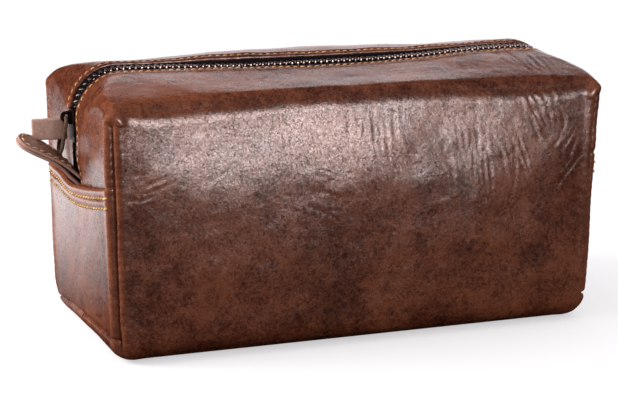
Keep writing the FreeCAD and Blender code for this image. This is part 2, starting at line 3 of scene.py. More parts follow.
import bpy
import numpy as np
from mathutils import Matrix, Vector

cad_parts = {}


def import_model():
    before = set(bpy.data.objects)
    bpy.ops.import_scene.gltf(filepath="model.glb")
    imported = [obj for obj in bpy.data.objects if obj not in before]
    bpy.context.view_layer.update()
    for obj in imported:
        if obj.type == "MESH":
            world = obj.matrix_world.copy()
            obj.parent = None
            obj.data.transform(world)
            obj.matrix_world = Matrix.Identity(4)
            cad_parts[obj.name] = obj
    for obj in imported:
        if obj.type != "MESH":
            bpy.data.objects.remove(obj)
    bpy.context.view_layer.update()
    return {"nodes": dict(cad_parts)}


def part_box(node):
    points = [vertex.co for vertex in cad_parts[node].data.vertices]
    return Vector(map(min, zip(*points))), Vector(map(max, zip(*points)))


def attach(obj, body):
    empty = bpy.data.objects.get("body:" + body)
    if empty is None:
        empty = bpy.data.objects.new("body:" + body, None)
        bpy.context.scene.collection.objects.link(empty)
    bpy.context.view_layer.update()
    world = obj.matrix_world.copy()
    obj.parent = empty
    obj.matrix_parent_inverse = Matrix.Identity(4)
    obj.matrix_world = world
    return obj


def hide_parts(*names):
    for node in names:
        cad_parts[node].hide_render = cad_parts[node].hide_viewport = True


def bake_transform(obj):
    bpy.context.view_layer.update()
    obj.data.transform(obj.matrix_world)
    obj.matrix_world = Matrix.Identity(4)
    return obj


# Leather shaving kit bag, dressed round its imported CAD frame. Lengths here are millimetres; MM turns
# them into metres when a mesh is made. Soft pieces are sheets laid on one hull shape, see hull().

MM = 0.001
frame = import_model()


def cad_box_mm(node):
    low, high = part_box(node)
    return np.array(low) / MM, np.array(high) / MM


_, PANEL_HIGH = cad_box_mm("body_panel")
END_X = PANEL_HIGH[0] - 0.9  # the end faces where they bulge most
CROWN = PANEL_HIGH[2]
SEAM_X = END_X - 3.3  # half length at the foot of the corner seams
FACE_Y = PANEL_HIGH[1]
CORNER_ROLL = 5.5
END_LEAN = 1.7  # how much further out the end faces stand at the top than at the base
EAVE = 124.0  # height of the top's edges in sharp coordinates
SEAM_TOP = 117.5  # where the upright corner seams end
LEATHER = 2.0
LINING_DEPTH, LINING = 3.4, 0.7
MOUTH_Y = 6.5  # half width between the leather's two edges beside the zip
ZIP_ROW = 2.7  # the stitch row beside the zip, out from the mouth's edge
SEAM_PITCH = 4.2  # between the threads of the corner seams
CHAIN_DROP = 1.5  # from the hull's surface down to the middle of the zip
TAPE_LOW = 70.0  # height of the zip tape's hidden ends
CHAIN_LOW = 108.7  # height of the first teeth at the left end
TOOTH_PITCH = 3.2
HEM_ROWS = (5.0, 10.0)  # the hem's stitch rows, below its top edge
HEM_OVERLAP = 7.0  # how far a wing runs down behind the hem
LINING_SLOT_LOW = 75.0  # the lining is open along the zip above this height
CENTRE = np.array([0.0, 0.0, 65.0])
SIDEWAYS = np.array([0.0, 1.0, 0.0])
FRONT, BACK = -1, 1
LEFT, RIGHT = -1, 1
SIDE_NAME = {FRONT: "front", BACK: "back"}
END_NAME = {LEFT: "left", RIGHT: "right"}


# ---- small numeric helpers ----

def smooth(value, start, end):
    """0 before start, 1 after end, smooth between them; start may be the larger one."""
    t = np.clip((value - start) / (end - start), 0.0, 1.0)
    return t * t * (3 - 2 * t)


def bump_at(distance, width):
    """A rounded bump of height 1 at distance 0."""
    return np.exp(-((distance / width) ** 2))


def lattice_value(cell, seed):
    """A repeatable value in -1..1 for each integer lattice cell."""
    key = cell[:, 0] * 73856093 ^ cell[:, 1] * 19349663 ^ cell[:, 2] * 83492791 ^ seed * 2654435761
    key = (key ^ (key >> 13)) * 1274126177 & 0xFFFFFFFF
    return ((key ^ (key >> 16)) & 0xFFFF) / 32767.5 - 1.0


def noise(points, scale, seed):
    """Smooth value noise in -1..1; scale is the size of one cell in millimetres."""
    place = points / scale
    cell = np.floor(place).astype(np.int64)
    part = place - cell
    part = part * part * (3 - 2 * part)
    total = np.zeros(len(points))
    for corner in np.ndindex(2, 2, 2):
        weight = np.prod(np.where(np.array(corner) == 1, part, 1 - part), axis=1)
        total += weight * lattice_value(cell + np.array(corner), seed)
    return total


def layered_noise(points, scale, seed, layers=3):
    total, size = np.zeros(len(points)), 1.0
    for i in range(layers):
        total += size * noise(points + 17.3 * i, scale / 2**i, seed + i)
        size *= 0.5
    return total


def stations(low, high, step, fine=None, reach=8.0):
    """Places from low to high about step apart, closer together (fine) within reach of both ends."""
    span = abs(high - low)
    if fine is None or span < 2.5 * reach:
        count = max(2, int(round(span / (fine or step))) + 1)
        return np.linspace(low, high, count)
    sign = np.sign(high - low)
    edge = np.linspace(0, reach, int(round(reach / fine)) + 1)
    middle = np.linspace(reach, span - reach, int(round((span - 2 * reach) / step)) + 1)
    return low + sign * np.concatenate([edge, middle[1:-1], (span - edge)[::-1]])


def unit(vectors):
    return vectors / np.maximum(1e-12, np.linalg.norm(vectors, axis=1, keepdims=True))


def run_length(points):
    """Distance along a polyline at each of its points."""
    return np.concatenate([[0], np.cumsum(np.linalg.norm(np.diff(points, axis=0), axis=1))])


def columns(*values):
    return np.stack(values, axis=1)


def interpolated(s, distance, rows):
    return columns(*(np.interp(s, distance, values) for values in rows.T))


# ---- the hull: the bag's outer shape over a box of sharp coordinates ----

def curve_through(value, knots):
    """A smooth curve through (place, height) knots, flat beyond its ends."""
    at, height = np.array(knots, float).T
    slope = np.gradient(height, at)
    value = np.clip(value, at[0], at[-1])
    k = np.clip(np.searchsorted(at, value) - 1, 0, len(at) - 2)
    span = at[k + 1] - at[k]
    t = (value - at[k]) / span
    rise = height[k + 1] - height[k]
    near, far = slope[k] * span - rise, -slope[k + 1] * span + rise
    return height[k] + t * rise + t * (1 - t) * ((1 - t) * near + t * far)


# How high the top stands across the bag, half way along it and near its ends. The front lip lies
# almost flat, the zip climbs towards the back and the back lip is the highest place.
MIDDLE_TOP = ((-66, 128.2), (-56, 129.5), (-30, 131.2), (-12, 132.5), (-6, 133.3), (0, 135.0), (7, 136.9),
              (17, 138.0), (30, 137.2), (45, 133.8), (56, 130.0), (66, 127.5))
END_TOP = ((-66, 125.4), (-56, 128.0), (-40, 131.0), (-25, 133.4), (-12, 135.0), (-6, 135.6), (0, 136.6),
           (7, 137.3), (17, 137.2), (30, 135.4), (45, 131.6), (56, 128.4), (66, 125.6))


def top_height(u, v):
    """Height of the top above the base."""
    x, y = u * SEAM_X, v * FACE_Y
    ends = smooth(np.abs(x + 5), 25, 95)
    height = (1 - ends) * curve_through(y, MIDDLE_TOP) + ends * curve_through(y, END_TOP)
    return height + 1.2 * smooth(x, 50, 100) * bump_at(y, 40)


def end_reach(u, v, h):
    """Half length of the bag: its ends bulge, and the right one leans out towards the top."""
    right_lean = (3.6 - 1.4 * smooth(v, -0.6, 0.6)) * h**3
    lean = END_LEAN * h + np.where(u > 0, right_lean, 0)
    bulge = (END_X - SEAM_X - END_LEAN) * (1 - np.abs(v) ** 2.4) * (0.35 + 0.65 * smooth(h, 0, 0.45))
    return SEAM_X + lean + bulge


def face_reach(u, h):
    """Half depth of the bag: its long faces swell low down and lean in towards the top."""
    near_top = np.clip((h - 0.88) / 0.12, 0, 1)
    eased = np.clip(h, 0, 0.88) + 0.12 * (near_top - near_top**2 / 2)
    swell = 4.2 * np.sin(np.pi * eased**0.8) - 27.0 * np.clip(eased - 0.63, 0, 1) ** 1.5
    return FACE_Y + (1 - u**4) * swell


def edge_rolls(u, v, h):
    """How far the rolled edges reach along X, along Y, down from the top and up from the base."""
    near_zip = smooth(np.abs(v) * FACE_Y, 52, 6)
    over_end = np.where(u < 0, 24.5, 17.0)
    low_corner = smooth(h, 0.20, 0.0)
    roll_x = CORNER_ROLL + (over_end - CORNER_ROLL) * near_zip * smooth(h, 0.55, 0.8) + 7.0 * low_corner
    roll_y = 9.0 - 3.5 * smooth(np.abs(u), 0.86, 1.0) + 5.0 * low_corner
    roll_top = 10.0 - 4.0 * smooth(np.abs(u), 0.8, 1.0)
    roll_top = roll_top + (over_end - roll_top) * near_zip
    roll_base = 12 - (2.0 + 5.0 * smooth(v, -0.3, 0.9)) * smooth(np.abs(u), 0.85, 1.0)
    return roll_x, roll_y, roll_top, roll_base


def hull(sharp):
    """Points on the bag's smooth outer surface.

    sharp holds (u, v, h) on the surface of a box: u and v run from -1 to 1 along X and Y, and h from
    0 at the base to 1 at the top. The box's edges are rolled, its faces bulge and its top is crowned."""
    u, v, h = sharp.T
    half_x, half_y, top = end_reach(u, v, h), face_reach(u, h), top_height(u, v)
    roll_x, roll_y, roll_top, roll_base = edge_rolls(u, v, h)
    x, y, z = np.abs(u) * half_x, np.abs(v) * half_y, h * top
    over = np.array([
        (x - half_x + roll_x) / roll_x,
        (y - half_y + roll_y) / roll_y,
        (z - top + roll_top) / roll_top,
        (roll_base - z) / roll_base,
    ])
    over = np.clip(over, 0, 1)
    past_x, past_y, past_top, past_base = over / np.maximum(1e-9, np.sqrt((over**2).sum(0)))
    x = np.where(past_x > 0, half_x - roll_x + roll_x * past_x, x)
    y = np.where(past_y > 0, half_y - roll_y + roll_y * past_y, y)
    z = np.where(past_top > 0, top - roll_top + roll_top * past_top, z)
    z = np.where(past_base > 0, roll_base - roll_base * past_base, z)
    return columns(np.sign(u) * x, np.sign(v) * y, z)


def hem_height(y):
    """The top edge of a lower end panel: level at the back, rising towards the front."""
    return 78.4 + 0.0155 * np.maximum(0, 10 - y) ** 1.5


def base_seam_height(y):
    return 10.3 - 0.035 * y - 0.00105 * np.maximum(y, 0) ** 2


def level(height_at, v, drop=0.0):
    """The h on an end face that lies drop below the height that height_at gives for each Y."""
    return (height_at(v * FACE_Y) - drop) / top_height(np.ones_like(v), v)


# ---- sheets: welded grids of sharp coordinates, given thickness ----

def grid_quads(tall, wide, start=0):
    """Quads over a grid of points that are stored row by row."""
    index = start + np.arange(tall * wide).reshape(tall, wide)
    return np.stack([index[:-1, :-1], index[:-1, 1:], index[1:, 1:], index[1:, :-1]], -1).reshape(-1, 4)


def quad_directions(points, quads):
    """A vector square to each quad."""
    corners = points[quads]
    return np.cross(corners[:, 2] - corners[:, 0], corners[:, 3] - corners[:, 1])


class Sheet:
    """A surface made of grids that are welded where their sharp coordinates meet."""

    def __init__(self, patches):
        quads, start = [], 0
        for patch in patches:
            tall, wide = patch.shape[:2]
            quads.append(grid_quads(tall, wide, start))
            start += tall * wide
        points = np.concatenate([patch.reshape(-1, 3) for patch in patches])
        keys = np.round(points * 1e6).astype(np.int64)
        _, first, place = np.unique(keys, axis=0, return_index=True, return_inverse=True)
        self.sharp = points[first]
        self.quads = place.reshape(-1)[np.concatenate(quads)]


def vertex_normals(points, quads):
    across = quad_directions(points, quads)
    total = np.zeros_like(points)
    for i in range(4):
        np.add.at(total, quads[:, i], across)
    return unit(total)


def turned_outward(points, quads):
    """The quads, each flipped where it faces the middle of the bag."""
    inward = (quad_directions(points, quads) * (points[quads].mean(1) - CENTRE)).sum(1) < 0
    return np.where(inward[:, None], quads[:, ::-1], quads)


def border_edges(quads):
    """Directed edges that belong to one quad only."""
    edges = np.concatenate([quads[:, [i, (i + 1) % 4]] for i in range(4)])
    ordered = np.sort(edges, axis=1)
    _, first, count = np.unique(ordered, axis=0, return_index=True, return_counts=True)
    return edges[first[count == 1]]


def thick_sheet(outer, inner, quads, rim_steps=5, rim_bulge=0.8):
    """A closed mesh between two surfaces with the same quads, its free edges rounded.

    It gives the points, the quads and, for each point, the place in outer that it came from."""
    edges = border_edges(quads)
    middle, half = (outer + inner) / 2, (outer - inner) / 2
    along = outer[edges[:, 1]] - outer[edges[:, 0]]
    side = unit(np.cross(along, half[edges[:, 0]] + half[edges[:, 1]]))
    push = np.zeros_like(outer)
    for i in range(2):
        np.add.at(push, edges[:, i], side)
    border, count = np.unique(edges), len(outer)
    slot = np.full(count, -1)
    slot[border] = np.arange(len(border))
    reach = unit(push)[border] * np.linalg.norm(half[border], axis=1, keepdims=True) * rim_bulge
    rings, rims = [], [edges]
    for step in range(1, rim_steps):
        angle = math.pi * step / rim_steps
        rings.append(middle[border] + half[border] * math.cos(angle) + reach * math.sin(angle))
        rims.append(2 * count + (step - 1) * len(border) + slot[edges])
    rims.append(edges + count)
    faces = [quads, quads[:, ::-1] + count]
    for near, far in zip(rims[:-1], rims[1:]):
        faces.append(columns(near[:, 1], near[:, 0], far[:, 0], far[:, 1]))
    source = np.concatenate([np.arange(count), np.arange(count)] + [border] * (rim_steps - 1))
    return np.concatenate([outer, inner] + rings), np.concatenate(faces), source


def new_object(name, points, faces, material, scuff_and_highlight=None):
    """A mesh object from millimetre points, with its rest place and any scuffing and painted highlight kept
    on its points.
    """
    mesh = bpy.data.meshes.new(name)
    faces = np.asarray(faces)
    mesh.vertices.add(len(points))
    mesh.vertices.foreach_set("co", (np.asarray(points) * MM).astype(np.float32).ravel())
    size = faces.shape[1]
    mesh.loops.add(faces.size)
    mesh.loops.foreach_set("vertex_index", faces.astype(np.int32).ravel())
    mesh.polygons.add(len(faces))
    mesh.polygons.foreach_set("loop_start", np.arange(0, faces.size, size, dtype=np.int32))
    mesh.update(calc_edges=True)
    mesh.validate()
    mesh.shade_smooth()
    rest = mesh.attributes.new("rest", "FLOAT_VECTOR", "POINT")
    rest.data.foreach_set("vector", np.asarray(points, np.float32).ravel())
    if scuff_and_highlight is not None:
        mesh.attributes.new("scuff_and_highlight", "FLOAT", "POINT").data.foreach_set("value", scuff_and_highlight.astype(np.float32))
    mesh.materials.append(material)
    obj = bpy.data.objects.new(name, mesh)
    bpy.context.scene.collection.objects.link(obj)
    return obj


def thick_piece(name, outer, inner, quads, material, slot, scuff_and_highlight=None, **rim):
    """A piece of sheet between two surfaces, and the place in outer that each of its points came from."""
    points, faces, source = thick_sheet(outer, inner, quads, **rim)
    picked_scuff_and_highlight = None if scuff_and_highlight is None else scuff_and_highlight[source]
    return new_object(name, points, faces, material, picked_scuff_and_highlight), source


# ---- baking a piece's placement into its mesh ----


def bend_with_lip(obj):
    """Bakes the piece's placement into its mesh."""
    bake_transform(obj)


# ---- leather detail: seams, stitch lines, creases ----

def rolled_seam(distance, radius):
    """Depth, 0 to 1, of an edge that rolls down into a seam at distance 0."""
    t = np.clip(distance / radius, 0, 1)
    return 1 - np.sqrt(np.maximum(0, 1 - (1 - t) ** 2))


def corner_seam(sharp, points):
    """Displacement round the upright corner seams: a groove between two rolled edges that meet above it."""
    u, v, h = sharp.T
    edge = columns(np.sign(u), np.sign(v), h)
    height = points[:, 2]
    across = np.linalg.norm((points - hull(edge))[:, :2], axis=1)
    gap = np.hypot(across, np.maximum(0, height - SEAM_TOP))
    seam = smooth(height, 3, 14)
    pucker = 0.5 + 0.5 * np.cos(2 * np.pi * height / SEAM_PITCH)
    edges = 1.35 * bump_at(gap - 4.4, 2.3) - 0.2 * bump_at(gap - 9.2, 3.0)
    on_face = (np.abs(v) > 1 - 1e-9) & (height < SEAM_TOP)
    edges = edges * np.where(on_face, 0.4, 1.0) * (0.72 + 0.28 * smooth(height, 70, 110))
    groove = -3.2 * rolled_seam(gap, 3.0) + edges
    return seam * (groove - 0.3 * pucker * bump_at(gap, 4.0))


# Families of parallel creases on a long face, and on the top beside the zip: centre along the bag,
# centre height (or distance across), lean in degrees, count, spacing, length and depth
FACE_CREASES = (
    (98, 113, -18, 9, 2.6, 21, 0.32),
    (74, 84, -14, 10, 3.0, 40, 0.21),
    (52, 92, -4, 8, 2.6, 30, 0.20),
    (4, 106, 6, 10, 2.6, 24, 0.22),
    (-40, 96, -6, 9, 4.0, 30, 0.18),
    (-84, 98, 50, 8, 3.2, 18, 0.09),
    (-112, 88, 76, 5, 3.0, 16, 0.16),
    (-20, 76, -62, 7, 4.2, 26, 0.09),
    (84, 46, 30, 7, 5.5, 36, 0.12),
    (108, 22, 60, 5, 3.2, 16, 0.16),
    (-70, 34, -26, 5, 6.0, 30, 0.10),
    (114, 92, 34, 7, 2.6, 22, 0.26),
)
TOP_CREASES = (
    (104, -32, 12, 14, 2.0, 26, 0.26),
    (56, -34, 16, 9, 2.6, 24, 0.16),
    (-34, -32, 18, 16, 2.3, 26, 0.20),
    (-92, -30, -24, 6, 3.4, 20, 0.05),
    (70, 36, -10, 12, 3.0, 24, 0.18),
    (-60, 38, 14, 10, 3.4, 24, 0.16),
)


def creases(x, z, families, seed):
    """Shallow, slightly bent lines in a plane, each with a small fold beside it."""
    random = np.random.default_rng(seed)
    total = np.zeros(len(x))
    for mid_x, mid_z, lean, count, spacing, length, depth in families:
        for i in range(count):
            angle = math.radians(lean + random.normal(0, 10))
            shift = (i - (count - 1) / 2) * spacing + random.normal(0, 0.3 * spacing)
            slide = random.normal(0, 0.22 * length)
            centre_x = mid_x + shift * math.cos(angle) + slide * math.sin(angle)
            centre_z = mid_z - shift * math.sin(angle) + slide * math.cos(angle)
            half, bend = length * random.uniform(0.22, 0.68), random.uniform(-2.4, 2.4)
            width, deep = random.uniform(0.5, 1.0), depth * random.uniform(0.5, 1.2)
            along = (x - centre_x) * math.sin(angle) + (z - centre_z) * math.cos(angle)
            off = (x - centre_x) * math.cos(angle) - (z - centre_z) * math.sin(angle)
            off = off - bend * (along / half) ** 2
            fade = np.clip(1 - (along / half) ** 2, 0, 1)
            total += deep * fade * (0.6 * bump_at(off - 1.9 * width, 1.3 * width) - bump_at(off, width))
    return total


def beside_zip(points, h):
    """The leather turned under beside the zip: a folded edge, a stitch line and a swell outside it."""
    mouth = np.abs(points[:, 1]) - MOUTH_Y
    row = 0.25 * bump_at(mouth - 1.0, 0.9) - 0.35 * bump_at(mouth - ZIP_ROW, 0.8)
    row += 0.3 * bump_at(mouth - 5.0, 2.0)
    return row * smooth(points[:, 2], 70, 84) * smooth(h, 0.5, 0.6)


def under_hem(points):
    """How far a wing is drawn in where it runs behind the hem of the end panel."""
    x, y, z = np.abs(points[:, 0]), np.abs(points[:, 1]), points[:, 2]
    inside_seams = smooth(y, 62, 50)
    tuck = smooth(z - hem_height(points[:, 1]), 2.5 + 11.5 * inside_seams, 0) * smooth(z, 55, 62)
    return (0.5 + 1.4 * inside_seams) * tuck * smooth(x, SEAM_X - 3, SEAM_X)


def base_seam(points):
    return 2.2 * rolled_seam(np.abs(points[:, 2] - base_seam_height(points[:, 1])), 3.0)


def body_detail(sharp, points):
    """Displacement of the body leather, in millimetres along its normal."""
    u, v, h = sharp.T
    x, y, z = points.T
    detail = 0.7 * layered_noise(points, 46, 3) + 0.2 * layered_noise(points, 13, 7)
    detail *= smooth(z, 0.2, 6)
    on_face = smooth(np.abs(y), 58, 64) * smooth(np.abs(x), 124, 116)
    on_top = smooth(h, 0.97, 1.0) * smooth(np.abs(y), 60, 54) * smooth(np.abs(y), 10, 15)
    front = v.mean() < 0
    detail += creases(x if front else -x, z, FACE_CREASES, 11 if front else 12) * on_face
    detail += creases(x, y, TOP_CREASES, 13) * on_top
    detail += corner_seam(sharp, points) + beside_zip(points, h)
    on_back_wing = (v > 0) & (np.abs(u) > 1 - 1e-9)
    drawn_in = smooth(z, 114, 106) * smooth(y, 19, 12) * smooth(h, 0.5, 0.6)
    detail -= 1.7 * np.where(on_back_wing, drawn_in, 0)
    on_end_foot = smooth(np.abs(x), SEAM_X - 3, SEAM_X) * smooth(z, 40, 25)
    return detail - under_hem(points) - base_seam(points) * on_end_foot


def end_panel_detail(sharp, points):
    """Displacement of a lower end panel: rolled side and base seams, and a hem with two stitch rows."""
    y, z = points[:, 1], points[:, 2]
    detail = 0.5 * layered_noise(points, 38, 21) + 0.12 * layered_noise(points, 10, 22)
    detail += corner_seam(sharp, points) - base_seam(points)
    below = hem_height(y) - z
    hem = 0.9 * smooth(below, 34, 4) + 1.8 * bump_at(y, 22) * smooth(below, 16, 0)
    hem += 0.3 * bump_at(below - 7.5, 1.6) + 0.35 * bump_at(below - 2.2, 1.6)
    for row in HEM_ROWS:
        hem -= 0.45 * bump_at(below - row, 1.1)
    return detail + hem * smooth(np.abs(y), 63, 54)


def scuff_and_highlight_of(points, outer_detail):
    """How much lighter the leather is made, partly from scuffing and partly as a painted highlight: most
    along rolled edges and on raised detail.
    """
    x, y = np.abs(points[:, 0]), np.abs(points[:, 1])
    # a lighter band down the upright corners: partly scuffing, partly a painted highlight on the rolled seam
    # edges
    corner = bump_at(np.hypot(x - SEAM_X, y - FACE_Y + 2), 6) * 0.5
    # raised detail made lighter: partly scuffing, partly a painted highlight
    ridge = smooth(outer_detail, 0.6, 1.4) * 0.75
    return np.clip(corner + ridge, 0, 1)


# ---- sheets of the bag ----

def grid(us, vs, hs):
    """Sharp coordinates from three arrays that broadcast to one grid."""
    return np.stack(np.broadcast_arrays(us, vs, hs), axis=-1).astype(float)


def half_patches(side, mouth, step, fine, with_end=False):
    """The patches of the front or back half of the body.

    With with_end the end faces are whole, for the lining; otherwise the lower end panels are left out."""
    us = stations(-SEAM_X, SEAM_X, step, fine)[:, None] / SEAM_X
    base_v = side * stations(0, FACE_Y, step, fine)[None, :] / FACE_Y
    top_v = side * stations(FACE_Y, mouth, step, fine)[None, :] / FACE_Y
    edge = np.array([[float(side)]])
    hem_low = level(hem_height, edge, HEM_OVERLAP)[0, 0]
    seam_h = level(base_seam_height, edge)[0, 0]
    foot = stations(0, seam_h * EAVE, fine)[:, None] / (seam_h * EAVE)
    rise = (stations(hem_low * EAVE, EAVE, step, fine)[:, None] / EAVE - hem_low) / (1 - hem_low)
    middle = stations(seam_h * EAVE, hem_low * EAVE, step)[:, None] / EAVE
    face_h = np.concatenate([foot * seam_h, middle[1:-1], hem_low + (1 - hem_low) * rise])
    patches = [grid(us, base_v, 0.0), grid(us, edge, face_h.T), grid(us, top_v, 1.0)]
    for end in (LEFT, RIGHT):
        if with_end:
            patches.append(grid(end, top_v, face_h))
            gap_v = side * stations(mouth, 0, step)[None, :] / FACE_Y
            patches.append(grid(end, gap_v, face_h[face_h[:, 0] * CROWN < LINING_SLOT_LOW]))
        else:
            low = level(hem_height, top_v, HEM_OVERLAP)
            patches.append(grid(end, top_v, low + (1 - low) * rise))
            patches.append(grid(end, base_v, foot * level(base_seam_height, base_v)))
    return patches


def lay(patches):
    """A sheet's smooth surface: (sheet, points, normals), its faces turned outward."""
    sheet = Sheet(patches)
    points = hull(sheet.sharp)
    sheet.quads = turned_outward(points, sheet.quads)
    return sheet, points, vertex_normals(points, sheet.quads)


def body_leather(side, material):
    """Half of the body panel with its lip, one welded and rounded sheet of leather."""
    sheet, points, normals = lay(half_patches(side, MOUTH_Y + 0.7, 0.9, 0.6))
    detail = body_detail(sheet.sharp, points)
    outer = points + normals * detail[:, None]
    outer[:, 2] = np.maximum(outer[:, 2], 0.0)
    thickness = LEATHER - 0.4 + 0.6 * smooth(points[:, 2], 0.0, 1.5)
    inner, scuff_and_highlight = points - normals * thickness[:, None], scuff_and_highlight_of(points, detail)
    name = f"{SIDE_NAME[side]}_body_leather"
    obj, source = thick_piece(name, outer, inner, sheet.quads, material, "leather", scuff_and_highlight)
    bend_with_lip(obj)
    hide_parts("body_panel", f"{SIDE_NAME[side]}_lip")


def body_lining(side, material):
    sheet, points, normals = lay(half_patches(side, MOUTH_Y + 3.0, 4.0, 2.0, with_end=True))
    outer = points - normals * LINING_DEPTH
    inner, name = outer - normals * LINING, f"{SIDE_NAME[side]}_lining"
    obj, source = thick_piece(name, outer, inner, sheet.quads, material, "lining_cloth", rim_steps=2)
    bend_with_lip(obj)
    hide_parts("body_lining", f"{SIDE_NAME[side]}_lip_lining", "left_end_lining", "right_end_lining")


def end_panel(end, material):
    """A lower end panel, from its base seam up to its rounded hem."""
    vs = stations(-FACE_Y, FACE_Y, 1.5, 0.75)[None, :] / FACE_Y
    low, high = level(base_seam_height, vs), level(hem_height, vs, 1.2)
    climb = stations(0, 70, 1.4, 0.8)[:, None] / 70
    sheet, points, normals = lay([grid(end, vs, low + (high - low) * climb)])
    detail = end_panel_detail(sheet.sharp, points)
    outer = points + normals * detail[:, None]
    near_hem = smooth(hem_height(points[:, 1]) - points[:, 2], 20, 8)
    inside_seams = smooth(np.abs(points[:, 1]), 64, 58)
    thickness = (2.4 + 0.6 * near_hem) * (0.35 + 0.65 * inside_seams)
    inner, scuff_and_highlight = outer - normals * thickness[:, None], scuff_and_highlight_of(points, detail)
    name = f"{END_NAME[end]}_end_leather"
    obj, _ = thick_piece(name, outer, inner, sheet.quads, material, "leather", scuff_and_highlight)
    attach(obj, "root")
    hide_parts(f"{END_NAME[end]}_end_panel")


# ---- the zip ----

def over_the_top(low_height, step):
    """Sharp (u, h) places up the left end, across the top and down the right end."""
    climb = stations(low_height / CROWN, 1.0, step / CROWN)
    across = stations(-1.0, 1.0, step / END_X)
    us = np.concatenate([np.full(len(climb), -1.0), across[1:-1], np.full(len(climb), 1.0)])
    hs = np.concatenate([climb, np.ones(len(across) - 2), climb[::-1]])
    return us, hs


def zip_path():
    """The middle of the zip as dense arrays: distance along it, points and outward normals."""
    us, hs = over_the_top(TAPE_LOW, 0.4)
    surface = hull(grid(us, 0.0, hs))
    normal = np.cross(unit(np.gradient(surface, axis=0)), SIDEWAYS)
    normal *= np.sign(((surface - CENTRE) * normal).sum(1))[:, None]
    middle = surface - normal * CHAIN_DROP
    return run_length(middle), middle, normal


ZIP_S, ZIP_POINT, ZIP_NORMAL = zip_path()


def on_zip(s):
    """Points, tangents and normals of the chain's middle at distances s."""
    normal = unit(interpolated(s, ZIP_S, ZIP_NORMAL))
    return interpolated(s, ZIP_S, ZIP_POINT), np.cross(SIDEWAYS, normal), normal


def zip_distance(height, end):
    """Distance along the path at which it passes a height, on the left or right end."""
    half = len(ZIP_S) // 2
    part = slice(0, half) if end == LEFT else slice(half, None)
    order = 1 if end == LEFT else -1
    return np.interp(height, ZIP_POINT[part, 2][::order], ZIP_S[part][::order])


def zip_tape(side, material):
    """A woven tape with a corded edge, running in under the leather and standing proud below the slider."""
    ys = np.array([2.0, 2.4, 3.2, 4.2, 5.2, 6.2, 7.4, 9.5, 13.0])
    us, hs = over_the_top(TAPE_LOW, 1.6)
    sheet, points, normals = lay([grid(us[:, None], side * ys[None, :] / FACE_Y, hs[:, None])])
    across = np.abs(points[:, 1])
    cord = 0.35 * bump_at(across - 2.6, 0.8)
    proud = 0.9 * smooth(points[:, 2], 106, 100) * smooth(across, 6.2, 5.0)
    drop = CHAIN_DROP - 0.35 + 1.3 * smooth(across, 4.2, 7.6) - proud
    outer, inner = points - normals * (drop - cord)[:, None], points - normals * (drop + 0.7 + cord)[:, None]
    name = f"{SIDE_NAME[side]}_tape"
    obj, source = thick_piece(name, outer, inner, sheet.quads, material, "zip_tape", rim_steps=3)
    bend_with_lip(obj)
    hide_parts(f"{SIDE_NAME[side]}_zip_tape")


def copies(shape, faces, places, along, across, out):
    """Copies of a small mesh, its X, Y and Z turned to along, across and out at each place."""
    turned = (
        places[:, None, :]
        + shape[None, :, 0:1] * along[:, None, :]
        + shape[None, :, 1:2] * across[:, None, :]
        + shape[None, :, 2:3] * out[:, None, :]
    )
    shift = (np.arange(len(places)) * len(shape))[:, None, None]
    return turned.reshape(-1, 3), (faces[None] + shift).reshape(-1, faces.shape[1])


def ringed_solid(rings):
    """A closed quad mesh through rings of equal point count, each end drawn to a small ring."""
    count, size = rings.shape[:2]
    index = np.arange(count * size).reshape(count, size)
    right = np.roll(index, -1, axis=1)
    faces = np.stack([index[:-1], right[:-1], right[1:], index[1:]], -1).reshape(-1, 4)
    half = size // 2
    caps = []
    for ring, flip in ((index[0], False), (index[-1], True)):
        for i in range(half - 1):
            quad = [ring[i], ring[i + 1], ring[size - 2 - i], ring[size - 1 - i]]
            caps.append(quad if flip else quad[::-1])
    return rings.reshape(-1, 3), np.concatenate([faces, np.array(caps)])


def tooth_shape(side):
    """One zip tooth: two legs' worth of metal at its foot, a narrow neck and a rounded head."""
    spans = (
        # distance across from the middle of the zip, half width, half height, lean along the zip
        (-3.75, 0.35, 0.55, -0.95),
        (-3.6, 0.62, 0.95, -0.9),
        (-2.4, 0.72, 1.08, -0.5),
        (-1.5, 0.60, 0.95, -0.1),
        (-0.6, 0.58, 0.85, 0.2),
        (0.3, 0.66, 0.95, 0.35),
        (0.8, 0.50, 0.75, 0.35),
        (0.95, 0.25, 0.4, 0.35),
    )
    angles = np.arange(12) / 12 * 2 * np.pi
    round_x = np.sign(np.cos(angles)) * np.abs(np.cos(angles)) ** 0.6
    round_z = np.sign(np.sin(angles)) * np.abs(np.sin(angles)) ** 0.6
    rings = [
        columns(lean + wide * round_x, np.full(12, -side * y), tall * round_z)
        for y, wide, tall, lean in spans
    ]
    return ringed_solid(np.array(rings))


def zip_teeth(side, material):
    """One tape's teeth, half a pitch off from the other's."""
    start, end = zip_distance(CHAIN_LOW, LEFT), zip_distance(CHAIN_LOW - 0.7, RIGHT)
    s = np.arange(start + (0 if side == FRONT else TOOTH_PITCH / 2), end, TOOTH_PITCH)
    point, along, out = on_zip(s)
    across = np.tile(SIDEWAYS, (len(s), 1))
    points, quads = copies(*tooth_shape(side), point, along, across, out)
    obj = new_object(f"{SIDE_NAME[side]}_teeth", points, quads, material)
    bend_with_lip(obj)
    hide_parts(f"{SIDE_NAME[side]}_zip_teeth")


# ---- thread ----

def stitch_shape(length, radius):
    """One stitch: a short plump thread whose ends dip into the leather."""
    spans = np.array([-0.5, -0.44, -0.3, -0.1, 0.1, 0.3, 0.44, 0.5])
    angles = np.arange(8) / 8 * 2 * np.pi
    rings = []
    for t in spans:
        size = radius * (1 - abs(2 * t) ** 4 * 0.75)
        dip = -radius * 1.3 * abs(2 * t) ** 3
        x = np.full(8, t * length)
        rings.append(columns(x, 1.15 * size * np.cos(angles), dip + size * np.sin(angles)))
    return ringed_solid(np.array(rings))


